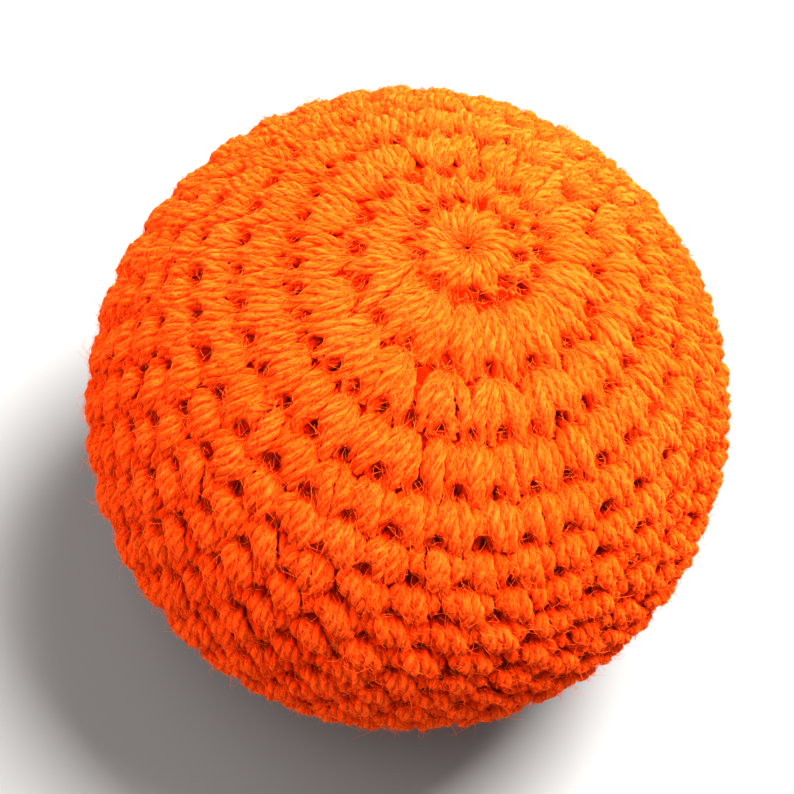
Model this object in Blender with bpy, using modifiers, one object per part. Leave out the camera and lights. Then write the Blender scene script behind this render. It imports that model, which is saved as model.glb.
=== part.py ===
"""A crocheted footbag: a round cover worked in a spiral, and the filled liner bag inside it.

Metres, +Z up. The crown, where the work starts, points up, and the bag rests on its base at z = 0.
Pieces are placed from the ball's centre, which every turned piece has as its origin.
"""

import math

import bmesh
import bpy
from mathutils import Vector

# Cover
BALL_DIAMETER = 0.062  # over the crests of the stitches
YARN_DIAMETER = 0.0013
RING_COVER = 0.0011  # stitches left outside each drawn ring
HOLE_DEPTH = 0.0018  # crest of a stitch to the bottom of the hole it is worked into
LOOP_DEPTH = 0.0006  # crest of a stitch to the loops between two holes
GROOVE_DEPTH = 0.0013  # crest of a stitch to the groove beside it
POLE_DEPTH = 0.0004  # crest of a stitch to where they all meet at the crown
CROWN_HOLE_DIAMETER = 0.0014
RING_DIAMETER = 0.0038  # across a drawn ring, to the middle of its yarn
FOOT_SINK = 0.0016  # how far the filled bag settles on its base
FIT_GAP = 0.0003  # between two pieces that touch

# Liner bag and its tie
LINER_WALL = 0.0004
NECK_DIAMETER = 0.0034
FRILL_DIAMETER = 0.0058  # free edge of the gathered neck
FRILL_HEIGHT = 0.0012
TUCK_DIAMETER = 0.0110  # the hollow in the base that the neck is tucked into
TIE_DIAMETER = 0.0006
TIE_SPACING = 0.0011  # from one turn of the tie to the next
NECK_MARGIN = 0.0006  # neck left bare above and below the tie

# Filling
PELLET_DIAMETER = 0.0038
PELLET_HEIGHT = 0.0026
PELLETS_IN_RING = (1, 6, 12, 17)  # pellets that lie loose, from the one at the top outwards
LUMP_DEPTH = 0.0005  # dips between the pellets that are joined

OVERRUN = 0.002  # how far a cutter runs past what it cuts
WELD = 0.0000005  # points this near each other are one point

# The strip of stitches is wound from the crown to the base. An odd number of columns in a turn sets
# each round half a stitch over from the one above, so that its stitches stand between theirs.
COLUMNS = 73
STRIP_ROWS = 3

# Columns to a stitch and height in degrees of each round, from the crown to the base. The first is
# worked into the starting ring, the last is drawn together, and the others wind in one spiral.
ROUNDS = (
    (8, 8.6),
    (4, 11.7),
    (2, 10.7),
    (2, 9.9),
    (2, 8.9),
    (2, 8.0),
    (2, 7.3),
    (2, 7.0),
    (2, 6.7),
    (2, 6.3),
    (2, 6.0),
    (2, 6.3),
    (2, 6.8),
    (2, 7.4),
    (2, 8.0),
    (2, 8.6),
    (3, 9.2),
    (3, 9.8),
    (4, 10.4),
    (6, 10.8),
    (12, 11.6),
)
LAST_ROUND = len(ROUNDS) - 1
LEAN_DEGREES = 2.0  # how far each round of stitches leans past the one above it
START_DEGREES = -88.0  # where the spiral leaves the first round

TURN_STEPS = 18
ARC_DEGREES = 12.0  # every turned arc has its points at multiples of this
TUCK_POINTS = 4
RING_STEPS = 18
RING_SIDES = 6
TIE_TURNS = 3
TIE_POINTS = 12
PELLET_SIDES = 8
PELLET_ROWS = 4

# Sizes that follow from those above
BALL_RADIUS = BALL_DIAMETER / 2
BALL_CENTRE = BALL_RADIUS - FOOT_SINK
RING_POCKET = YARN_DIAMETER + 2 * FIT_GAP
COVER_THICKNESS = RING_COVER + RING_POCKET
CAVITY_RADIUS = BALL_RADIUS - COVER_THICKNESS
CAVITY_FLOOR = COVER_THICKNESS - BALL_CENTRE
POCKET_RADIUS = (RING_DIAMETER + YARN_DIAMETER) / 2 + FIT_GAP
RING_INSET = RING_POCKET - FIT_GAP - YARN_DIAMETER / 2
LINER_RADIUS = CAVITY_RADIUS - FIT_GAP
LINER_FLOOR = CAVITY_FLOOR + FIT_GAP
TIE_HEIGHT = TIE_TURNS * TIE_SPACING + TIE_DIAMETER
NECK_LENGTH = FRILL_HEIGHT + TIE_HEIGHT + 2 * NECK_MARGIN
LINER_TO_FILL = LINER_WALL + FIT_GAP
FILL_RADIUS = LINER_RADIUS - LINER_TO_FILL
FILL_FLOOR = LINER_FLOOR + LINER_TO_FILL

ORANGE = (0.90, 0.12, 0.006, 1)
CLOTH = (0.76, 0.72, 0.64, 1)
THREAD = (0.85, 0.83, 0.78, 1)
PLASTIC = (0.80, 0.80, 0.76, 1)


def clear_scene():
    """Removes what a new file starts with."""
    for thing in list(bpy.data.objects):
        bpy.data.objects.remove(thing, do_unlink=True)


def add_collection(name):
    """A new collection in the scene."""
    collection = bpy.data.collections.new(name)
    bpy.context.scene.collection.children.link(collection)
    return collection


def material(name, colour, roughness):
    """A plain Principled material, none of it metal."""
    made = bpy.data.materials.new(name)
    made.use_nodes = True
    shader = made.node_tree.nodes["Principled BSDF"]
    shader.inputs["Base Color"].default_value = colour
    shader.inputs["Roughness"].default_value = roughness
    shader.inputs["Metallic"].default_value = 0
    return made


def add_object(name, data, collection, finish=None):
    """An object at the ball's centre, with one material."""
    thing = bpy.data.objects.new(name, data)
    collection.objects.link(thing)
    thing.location.z = BALL_CENTRE
    if finish is not None and not data.materials:
        data.materials.append(finish)
    return thing


def mesh_from(name, shape):
    """A smooth mesh datablock from a bmesh."""
    data = bpy.data.meshes.new(name)
    shape.to_mesh(data)
    shape.free()
    data.shade_smooth()
    return data


def cut(thing, cutter):
    """Takes a cutter away from an object, and keeps the cutter out of the part."""
    boolean = thing.modifiers.new("cut " + cutter.name, "BOOLEAN")
    boolean.operation = "DIFFERENCE"
    boolean.object = cutter
    cutter.hide_render = True
    cutter.display_type = "WIRE"


def facet_radius(radius, degrees):
    """Distance from the centre to the flats of a turned arc, this far down from the crown."""
    half = ARC_DEGREES / 2
    past_middle = degrees % ARC_DEGREES - half
    return radius * math.cos(math.radians(half)) / math.cos(math.radians(past_middle))


def flat_radius(radius):
    """How near the flats of a turned ball come to its centre."""
    return facet_radius(radius, ARC_DEGREES / 2) * math.cos(math.pi / TURN_STEPS)


def arc(radius, start, end):
    """Profile points about the ball's centre, between two angles down from the crown."""
    first = math.floor(start / ARC_DEGREES) + 1
    after = math.ceil(end / ARC_DEGREES)
    found = []
    for degrees in (start, *(ARC_DEGREES * i for i in range(first, after)), end):
        out = facet_radius(radius, degrees)
        angle = math.radians(degrees)
        found.append((out * math.sin(angle), out * math.cos(angle)))
    return found


def arc_to_floor(radius, start, floor):
    """Profile points from an angle down to the height where the ball is pressed flat."""
    end = math.degrees(math.acos(floor / radius))
    found = arc(radius, start, end)
    found.append((found[-1][0], floor))
    return found


def tuck(grown):
    """Profile points of the hollow in the liner's base, grown outwards, up to the root of the neck."""
    wide = (TUCK_DIAMETER - NECK_DIAMETER) / 2 + grown
    floor = LINER_FLOOR + grown
    found = []
    for i in range(TUCK_POINTS + 1):
        angle = math.pi / 2 * i / TUCK_POINTS
        across = NECK_DIAMETER / 2 + wide * math.cos(angle)
        found.append((across, floor + NECK_LENGTH * math.sin(angle)))
    return found


def turned(name, profile, collection, finish=None):
    """(radius, height) points, outer side downwards, turned about the upright axis."""
    shape = bmesh.new()
    verts = [shape.verts.new((across, 0, up)) for across, up in profile]
    for upper, lower in zip(verts, verts[1:]):
        shape.edges.new((upper, lower))
    thing = add_object(name, mesh_from(name, shape), collection, finish)
    screw = thing.modifiers.new("turn", "SCREW")
    screw.steps = TURN_STEPS
    screw.render_steps = TURN_STEPS
    screw.use_merge_vertices = True
    screw.merge_threshold = WELD
    screw.use_smooth_shade = True
    return thing


def round_edge(turns):
    """Degrees from the crown to the edge that the work has reached after this many rounds."""
    reached = 0.0
    for _, height in ROUNDS:
        reached += height * min(max(turns, 0), 1)
        turns -= 1
    return reached


def hump(column, offset, turn):
    """1 where a stitch of this turn has its middle, 0 halfway to the next, by place on the strip."""
    columns_to_stitch = ROUNDS[min(turn, LAST_ROUND)][0]
    phase = column / columns_to_stitch + offset
    return ((1 + math.cos(2 * math.pi * phase)) / 2) ** 2


def edge_depth(turn, column):
    """Depth on the edge above a round, where each groove of the round before it ends in a hole."""
    before = column if turn == 1 else column - COLUMNS
    return LOOP_DEPTH + (HOLE_DEPTH - LOOP_DEPTH) * hump(before, 1 / 2, turn - 1)


def body_depth(turn, column, row):
    """Depth in a round, where the groove between two stitches gets deeper down to the next hole."""
    return GROOVE_DEPTH * hump(column, 1 / 2, turn) * (1 + row / STRIP_ROWS) / 2


def cover_point(rounds, column, depth):
    """A point of the cover's outside, by rounds worked, place on the strip and depth."""
    down = math.radians(round_edge(rounds))
    leaned = LEAN_DEGREES * min(max(rounds - 1, 0), LAST_ROUND - 1)
    around = math.radians(START_DEGREES + 360 * column / COLUMNS + leaned)
    radius = BALL_RADIUS - depth
    across = radius * math.sin(down)
    return Vector((across * math.cos(around), across * math.sin(around), radius * math.cos(down)))


def spiral_point(column, row):
    """A point of the long strip. Its upper edge meets the lower edge of the turn before."""
    turn = 1 + column // COLUMNS
    steps = column * STRIP_ROWS + row * COLUMNS
    steps_in_round = COLUMNS * STRIP_ROWS
    if steps <= steps_in_round:
        return cover_point(1, column, edge_depth(1, column % COLUMNS))
    if steps >= steps_in_round * LAST_ROUND:
        return cover_point(LAST_ROUND, column, edge_depth(LAST_ROUND, column % COLUMNS))
    if row == 0:
        depth = edge_depth(turn, column)
    elif row == STRIP_ROWS:
        depth = edge_depth(turn + 1, column + COLUMNS)
    else:
        depth = body_depth(turn, column, row)
    return cover_point(steps / steps_in_round, column, depth)


def crown_point(column, row):
    """A point of the first round, which closes on itself round the starting ring."""
    if row == 0:
        return cover_point(0, 0, POLE_DEPTH)
    if row == STRIP_ROWS:
        return cover_point(1, column, edge_depth(1, column % COLUMNS))
    return cover_point(row / STRIP_ROWS, column, body_depth(0, column % COLUMNS, row))


def base_point(column, row):
    """A point of the last round, which is drawn together on the closing ring."""
    if row == STRIP_ROWS:
        return cover_point(LAST_ROUND + 1, 0, HOLE_DEPTH)
    if row == 0:
        return cover_point(LAST_ROUND, column, edge_depth(LAST_ROUND, column % COLUMNS))
    place = LAST_ROUND + row / STRIP_ROWS
    return cover_point(place, column, body_depth(LAST_ROUND, column % COLUMNS, row))


def add_strip(shape, columns, place_of):
    """A flat strip, one round high, laid on the ball."""
    made = bmesh.ops.create_grid(shape, x_segments=columns, y_segments=STRIP_ROWS, size=1)
    for vert in made["verts"]:
        column = round((vert.co.x + 1) / 2 * columns)
        row = round((vert.co.y + 1) / 2 * STRIP_ROWS)
        vert.co = place_of(column, row)


def build_outside(name, collection, finish):
    """The cover's outside: two closed rounds and the spiral between them, joined at their edges."""
    shape = bmesh.new()
    add_strip(shape, COLUMNS, crown_point)
    add_strip(shape, COLUMNS * LAST_ROUND, spiral_point)
    add_strip(shape, COLUMNS, base_point)
    bmesh.ops.remove_doubles(shape, verts=shape.verts, dist=WELD)
    bmesh.ops.triangulate(shape, faces=shape.faces, quad_method="SHORT_EDGE")
    bmesh.ops.recalc_face_normals(shape, faces=shape.faces)
    return add_object(name, mesh_from(name, shape), collection, finish)


def build_cavity_cutter(cutters):
    """What is hollow in the cover: the inside, a pocket for each drawn ring and the crown's hole."""
    hole = CROWN_HOLE_DIAMETER / 2
    above = BALL_RADIUS + OVERRUN
    ceiling = CAVITY_RADIUS + RING_POCKET
    pocket_edge = math.degrees(math.asin(POCKET_RADIUS / CAVITY_RADIUS))
    profile = [(0, above), (hole, above), (hole, ceiling), (POCKET_RADIUS, ceiling)]
    profile += arc_to_floor(CAVITY_RADIUS, pocket_edge, CAVITY_FLOOR)
    under = CAVITY_FLOOR - RING_POCKET
    profile += [(POCKET_RADIUS, CAVITY_FLOOR), (POCKET_RADIUS, under), (0, under)]
    return turned("cavity", profile, cutters)


def build_foot_cutter(cutters):
    """Everything below the face that the bag rests on."""
    shape = bmesh.new()
    bmesh.ops.create_cube(shape, size=BALL_DIAMETER + OVERRUN)
    cutter = add_object("below_the_foot", mesh_from("below_the_foot", shape), cutters)
    cutter.location.z = -(BALL_DIAMETER + OVERRUN) / 2
    return cutter


def build_cover(parts, cutters, wool):
    """The crochet cover."""
    cover = build_outside("crochet_cover", parts, wool)
    cut(cover, build_foot_cutter(cutters))
    cut(cover, build_cavity_cutter(cutters))


def build_ring(name, height, parts, wool):
    """A loop of yarn drawn tight, lying flat in its pocket."""
    bpy.ops.mesh.primitive_torus_add(
        major_radius=RING_DIAMETER / 2,
        minor_radius=YARN_DIAMETER / 2,
        major_segments=RING_STEPS,
        minor_segments=RING_SIDES,
        location=(0, 0, BALL_CENTRE + height),
    )
    ring = bpy.context.object
    ring.name = name
    ring.data.name = name
    ring.data.materials.append(wool)
    ring.data.shade_smooth()
    for collection in list(ring.users_collection):
        collection.objects.unlink(ring)
    parts.objects.link(ring)


def build_liner(parts, cloth):
    """The liner bag: a round pouch pressed flat at the base, its neck hanging in the tuck."""
    neck = NECK_DIAMETER / 2
    profile = arc_to_floor(LINER_RADIUS, 0, LINER_FLOOR)
    profile += tuck(0)
    profile += [(neck, LINER_FLOOR + FRILL_HEIGHT), (FRILL_DIAMETER / 2, LINER_FLOOR)]
    liner = turned("liner_bag", profile, parts, cloth)
    wall = liner.modifiers.new("cloth", "SOLIDIFY")
    wall.thickness = LINER_WALL
    wall.offset = -1


def build_tie(parts, thread):
    """Thread wound round the neck of the liner."""
    curve = bpy.data.curves.new("liner_tie", "CURVE")
    curve.dimensions = "3D"
    curve.bevel_depth = TIE_DIAMETER / 2
    curve.bevel_resolution = 2
    curve.use_fill_caps = True
    spline = curve.splines.new("POLY")
    count = TIE_TURNS * TIE_POINTS
    spline.points.add(count)
    radius = (NECK_DIAMETER + TIE_DIAMETER) / 2 + FIT_GAP
    lowest = LINER_FLOOR + FRILL_HEIGHT + NECK_MARGIN + TIE_DIAMETER / 2
    for i, point in enumerate(spline.points):
        angle = 2 * math.pi * i / TIE_POINTS
        height = lowest + TIE_SPACING * i / TIE_POINTS
        point.co = (radius * math.cos(angle), radius * math.sin(angle), height, 1)
    print("gap between turns of the tie, mm:", round(1000 * (TIE_SPACING - TIE_DIAMETER), 3))
    add_object("liner_tie", curve, parts, thread)


def pellet_place():
    """Nearest the pellets' inner faces come to the centre, and the angle from one to the next."""
    outside = flat_radius(LINER_RADIUS - LINER_WALL) - FIT_GAP
    top = math.sqrt(outside**2 - (PELLET_DIAMETER / 2) ** 2)
    bottom = top - PELLET_HEIGHT
    return bottom, (PELLET_DIAMETER + FIT_GAP) / bottom


def build_filling(parts, plastic):
    """The settled pellets, joined, with a shallow bed at the top for the pellets that lie loose."""
    bottom, step = pellet_place()
    last = len(PELLETS_IN_RING) - 1
    bed_edge = last * step + math.atan((PELLET_DIAMETER / 2 + FIT_GAP) / bottom)
    bed_degrees = math.degrees(bed_edge)
    profile = arc(bottom - FIT_GAP, 0, bed_degrees)
    profile += arc_to_floor(FILL_RADIUS, bed_degrees, FILL_FLOOR)
    profile += tuck(LINER_TO_FILL)
    profile.append((0, profile[-1][1]))
    filling = turned("pellet_filling", profile, parts, plastic)
    lumps = bpy.data.textures.new("pellet lumps", "VORONOI")
    lumps.noise_scale = PELLET_DIAMETER
    dips = filling.modifiers.new("dips between pellets", "DISPLACE")
    dips.texture = lumps
    dips.texture_coords = "LOCAL"
    dips.strength = LUMP_DEPTH
    dips.mid_level = 1


def pellet_mesh(plastic):
    """One pellet: a flattened bead."""
    shape = bmesh.new()
    bmesh.ops.create_uvsphere(shape, u_segments=PELLET_SIDES, v_segments=PELLET_ROWS, radius=1)
    size = Vector((PELLET_DIAMETER, PELLET_DIAMETER, PELLET_HEIGHT)) / 2
    bmesh.ops.scale(shape, vec=size, verts=shape.verts)
    data = mesh_from("pellet", shape)
    data.materials.append(plastic)
    return data


def build_pellets(parts, plastic):
    """The pellets that lie loose on top, in rings that follow the round of the liner."""
    bead = pellet_mesh(plastic)
    bottom, step = pellet_place()
    middle = bottom + PELLET_HEIGHT / 2
    number = 0
    for ring, count in enumerate(PELLETS_IN_RING):
        down = ring * step
        for i in range(count):
            number += 1
            around = 2 * math.pi * i / count + down
            pellet = add_object(f"pellet_{number:02d}", bead, parts)
            pellet.rotation_euler = (0, down, around)
            across = middle * math.sin(down)
            pellet.location.x = across * math.cos(around)
            pellet.location.y = across * math.sin(around)
            pellet.location.z += middle * math.cos(down)


def main():
    """Builds the footbag."""
    clear_scene()
    parts = add_collection("footbag")
    cutters = add_collection("cutters")
    wool = material("orange wool", ORANGE, 0.9)
    cloth = material("liner cloth", CLOTH, 0.85)
    thread = material("tie thread", THREAD, 0.7)
    plastic = material("pellet plastic", PLASTIC, 0.5)
    build_cover(parts, cutters, wool)
    build_ring("starting_ring", CAVITY_RADIUS + RING_INSET, parts, wool)
    build_ring("closing_ring", CAVITY_FLOOR - RING_INSET, parts, wool)
    build_liner(parts, cloth)
    build_tie(parts, thread)
    build_filling(parts, plastic)
    build_pellets(parts, plastic)


main()
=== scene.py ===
"""The looks of a crocheted footbag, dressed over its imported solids.

The cover is built stitch by stitch from plied yarn that follows the same spiral as the solids.
Metres, +Z up. Heights inside the classes are counted from the ball's centre, where no comment
says otherwise.
"""

import logging
import math
from dataclasses import dataclass, field
from enum import Enum
from typing import Iterable, Sequence

import bmesh
import bpy
import numpy as np
from mathutils import Matrix, Vector


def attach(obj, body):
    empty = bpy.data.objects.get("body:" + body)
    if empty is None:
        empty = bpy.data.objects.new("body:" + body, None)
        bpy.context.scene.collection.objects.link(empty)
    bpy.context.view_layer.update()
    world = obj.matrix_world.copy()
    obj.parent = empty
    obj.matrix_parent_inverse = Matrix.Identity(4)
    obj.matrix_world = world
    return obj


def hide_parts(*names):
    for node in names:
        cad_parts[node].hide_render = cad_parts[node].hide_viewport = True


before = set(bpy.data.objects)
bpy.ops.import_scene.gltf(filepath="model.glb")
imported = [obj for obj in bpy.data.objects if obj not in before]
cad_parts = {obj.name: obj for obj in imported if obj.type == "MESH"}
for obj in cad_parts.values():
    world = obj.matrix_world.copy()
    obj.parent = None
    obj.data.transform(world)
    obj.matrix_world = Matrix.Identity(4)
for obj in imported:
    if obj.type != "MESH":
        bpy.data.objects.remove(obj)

BODY = "root"
MM = 0.001
TURN = 2 * math.pi
log = logging.getLogger("footbag")

Array = np.ndarray
Random = np.random.Generator
Colour = tuple[float, float, float]
Span = tuple[float, float]
Material = bpy.types.Material
Mesh = bpy.types.Mesh
Node = bpy.types.Node
Socket = bpy.types.NodeSocket
Thing = bpy.types.Object


class Slot(Enum):
    """Names of the record's material slots for the soft pieces."""

    WOOL = "wool"
    CLOTH = "liner_cloth"
    THREAD = "tie_thread"


class Graph:
    """A node tree under construction, for geometry or for a material."""

    def __init__(self, tree: bpy.types.NodeTree) -> None:
        """Keeps the tree that gets the nodes."""
        self.tree = tree

    @classmethod
    def for_geometry(cls, name: str, inputs: Iterable[tuple[str, str]]) -> "Graph":
        """Starts a geometry tree, which takes geometry first and a finish last.

        Args:
            name: the tree's name.
            inputs: label and kind of each input between the two.

        Returns:
            Its graph.
        """
        tree = bpy.data.node_groups.new(name, "GeometryNodeTree")
        for label, kind in (("Geometry", "Geometry"), *inputs, ("Finish", "Material")):
            tree.interface.new_socket(label, in_out="INPUT", socket_type=f"NodeSocket{kind}")
        tree.interface.new_socket("Geometry", in_out="OUTPUT", socket_type="NodeSocketGeometry")
        return cls(tree)

    def feed(self, node: Node, inputs: dict) -> None:
        """Links a node's inputs or sets their plain values.

        Args:
            node: the node.
            inputs: a socket, a node or a value for each input, by the input's name or number.
        """
        for key, value in inputs.items():
            if isinstance(value, Node):
                value = next(s for s in value.outputs if s.enabled)
            if isinstance(value, Socket):
                self.tree.links.new(value, node.inputs[key])
            else:
                node.inputs[key].default_value = value

    def node(self, kind: str, inputs: dict | None = None, **settings: object) -> Node:
        """Adds a node.

        Args:
            kind: the node's type name.
            inputs: what feeds it.
            settings: the node's own settings.

        Returns:
            The node.
        """
        made = self.tree.nodes.new(kind)
        for name, value in settings.items():
            setattr(made, name, value)
        self.feed(made, inputs or {})
        return made

    def maths(self, operation: str, *values: object) -> Socket:
        """The result of a Math node with these inputs."""
        return self.node("ShaderNodeMath", dict(enumerate(values)), operation=operation).outputs[0]

    def vectors(self, operation: str, *values: object) -> Socket:
        """The result of a Vector Math node with these inputs."""
        made = self.node("ShaderNodeVectorMath", dict(enumerate(values)), operation=operation)
        return made.outputs["Value" if operation == "LENGTH" else "Vector"]

    def scaled(self, vector: object, factor: object) -> Socket:
        """A vector times a number."""
        made = self.node("ShaderNodeVectorMath", {0: vector, "Scale": factor}, operation="SCALE")
        return made.outputs["Vector"]

    def joined(self, *parts: object) -> Node:
        """A vector of three numbers."""
        return self.node("ShaderNodeCombineXYZ", dict(enumerate(parts)))

    def parts(self, vector: object) -> Sequence[Socket]:
        """The three numbers of a vector."""
        return self.node("ShaderNodeSeparateXYZ", {0: vector}).outputs

    def stretched(
        self, value: object, low: float, high: float, start: float = 0, end: float = 1
    ) -> Socket:
        """A Map Range node's result, clamped.

        Args:
            value: what is mapped.
            low: the value that gives start.
            high: the value that gives end.
            start: result at low.
            end: result at high.

        Returns:
            Its output.
        """
        ends = {"From Min": low, "From Max": high, "To Min": start, "To Max": end}
        return self.node("ShaderNodeMapRange", {"Value": value, **ends}).outputs["Result"]

    def mixed(self, factor: object, first: object, second: object) -> Socket:
        """A mix of two colours.

        Args:
            factor: 0 for the first, 1 for the second.
            first: colour or socket.
            second: colour or socket.

        Returns:
            The colour output.
        """
        first, second = ((*end, 1) if isinstance(end, tuple) else end for end in (first, second))
        inputs = {0: factor, 6: first, 7: second}
        return self.node("ShaderNodeMix", inputs, data_type="RGBA").outputs[2]

    def place(self) -> Socket:
        """Where a material is looked up, in the frame's metres."""
        return self.node("ShaderNodeTexCoord").outputs["Object"]

    def attribute(self, name: str, output: str = "Fac") -> Socket:
        """What a mesh attribute holds, for a material."""
        return self.node("ShaderNodeAttribute", attribute_name=name).outputs[output]

    def noise(self, where: object, scale: float, detail: float = 2.0, **more: float) -> Socket:
        """A noise texture's value.

        Args:
            where: the place that it is read at.
            scale: its scale.
            detail: its octaves.
            more: its other inputs.

        Returns:
            Its output.
        """
        inputs = {"Vector": where, "Scale": scale, "Detail": detail, **more}
        return self.node("ShaderNodeTexNoise", inputs).outputs[0]

    def bump(self, height: object, strength: float, distance: float) -> Node:
        """A relief for a shader's normal."""
        inputs = {"Strength": strength, "Distance": distance, "Height": height}
        return self.node("ShaderNodeBump", inputs)

    def named(self, name: str, kind: str = "FLOAT") -> Socket:
        """What a mesh attribute holds, for geometry."""
        return self.node("GeometryNodeInputNamedAttribute", {0: name}, data_type=kind).outputs[0]

    def stored(
        self, geometry: object, name: str, value: object, kind: str = "FLOAT", domain: str = "POINT"
    ) -> Node:
        """Stores an attribute on geometry.

        Args:
            geometry: what gets it.
            name: its name.
            value: its value.
            kind: its type.
            domain: whether points or whole curves have one.

        Returns:
            The geometry with the attribute.
        """
        inputs = {0: geometry, "Name": name, "Value": value}
        return self.node("GeometryNodeStoreNamedAttribute", inputs, data_type=kind, domain=domain)

    def circle(self, sides: object) -> Node:
        """A profile of radius 1."""
        return self.node("GeometryNodeCurvePrimitiveCircle", {"Resolution": sides, "Radius": 1.0})

    def tubes(self, lines: object, profile: object, scale: object) -> Node:
        """Capped tubes along curves."""
        inputs = {"Curve": lines, "Profile Curve": profile, "Scale": scale, "Fill Caps": True}
        return self.node("GeometryNodeCurveToMesh", inputs)

    def give(self, geometry: object, finish: object) -> None:
        """Ends a geometry tree: smooth, made real and with its finish.

        Args:
            geometry: what the tree gives.
            finish: the material.
        """
        smooth = self.node("GeometryNodeSetShadeSmooth", {0: geometry, "Shade Smooth": True})
        real = self.node("GeometryNodeRealizeInstances", {0: smooth})
        dressed = self.node("GeometryNodeSetMaterial", {0: real, "Material": finish})
        self.node("NodeGroupOutput", {0: dressed})


@dataclass(frozen=True)
class Spiral:
    """Where the work lies on the ball. The sizes repeat those of the solids."""

    ball_radius: float = 31 * MM
    centre_height: float = 29.4 * MM
    columns: int = 73
    lean_degrees: float = 2.0
    start_degrees: float = -88.0
    heights: tuple[float, ...] = (
        8.6, 11.7, 10.7, 9.9, 8.9, 8.0, 7.3, 7.0, 6.7, 6.3, 6.0,
        6.3, 6.8, 7.4, 8.0, 8.6, 9.2, 9.8, 10.4, 10.8, 11.6,
    )  # fmt: skip
    foot_edge: float = 0.25 * MM  # how soon the round turns into the flat foot
    clearance: float = 0.02 * MM  # of the lowest points above the floor

    @property
    def last_round(self) -> int:
        """Number of the round that is drawn together at the base."""
        return len(self.heights) - 1

    def down(self, rounds: Array) -> Array:
        """Radians down from the crown that this many rounds reach."""
        edges = np.concatenate(([0.0], np.cumsum(self.heights)))
        return np.radians(np.interp(rounds, np.arange(len(edges)), edges))

    def around(self, column: Array, rounds: Array) -> Array:
        """Radians round the upright axis, where the rounds worked set the lean."""
        leaned = self.lean_degrees * np.clip(rounds - 1, 0, self.last_round - 1)
        return np.radians(self.start_degrees + 360 * column / self.columns + leaned)

    def outward(self, column: Array, rounds: Array) -> Array:
        """Finds directions from the ball's centre.

        Args:
            column: places on the strip of stitches, counted from its start.
            rounds: rounds worked.

        Returns:
            Unit vectors, one to a row.
        """
        down, around = self.down(rounds), self.around(column, rounds)
        flat = np.sin(down)
        return np.stack((flat * np.cos(around), flat * np.sin(around), np.cos(down)), -1)

    def width(self, rounds: Array) -> Array:
        """Metres along the round for one column."""
        return self.ball_radius * np.sin(self.down(rounds)) * TURN / self.columns

    def settled(self, points: Array) -> Array:
        """Moves points as the filled bag settles on its foot.

        Args:
            points: rows of x, y and z about the ball's centre.

        Returns:
            The rows in the frame's own place.
        """
        placed = points + (0, 0, self.centre_height)
        reach = np.linalg.norm(points, axis=-1)
        lowest = self.centre_height + self.ball_radius * points[:, 2] / np.maximum(reach, MM)
        lift = self.foot_edge * np.logaddexp(0, -lowest / self.foot_edge)
        placed[:, 2] = np.maximum(placed[:, 2] + lift, self.clearance)
        return placed


class Finish:
    """What every finish has in common: a Principled shader, fed with what the finish works out."""

    name: str

    def inputs(self, graph: Graph) -> dict[str, object]:
        """The shader's inputs by name, which each finish works out in its own way."""
        raise NotImplementedError

    def build(self) -> Material:
        """Makes the material.

        Returns:
            The material.
        """
        made = bpy.data.materials.new(self.name)
        made.use_nodes = True
        graph = Graph(made.node_tree)
        graph.feed(made.node_tree.nodes["Principled BSDF"], self.inputs(graph))
        return made


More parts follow.
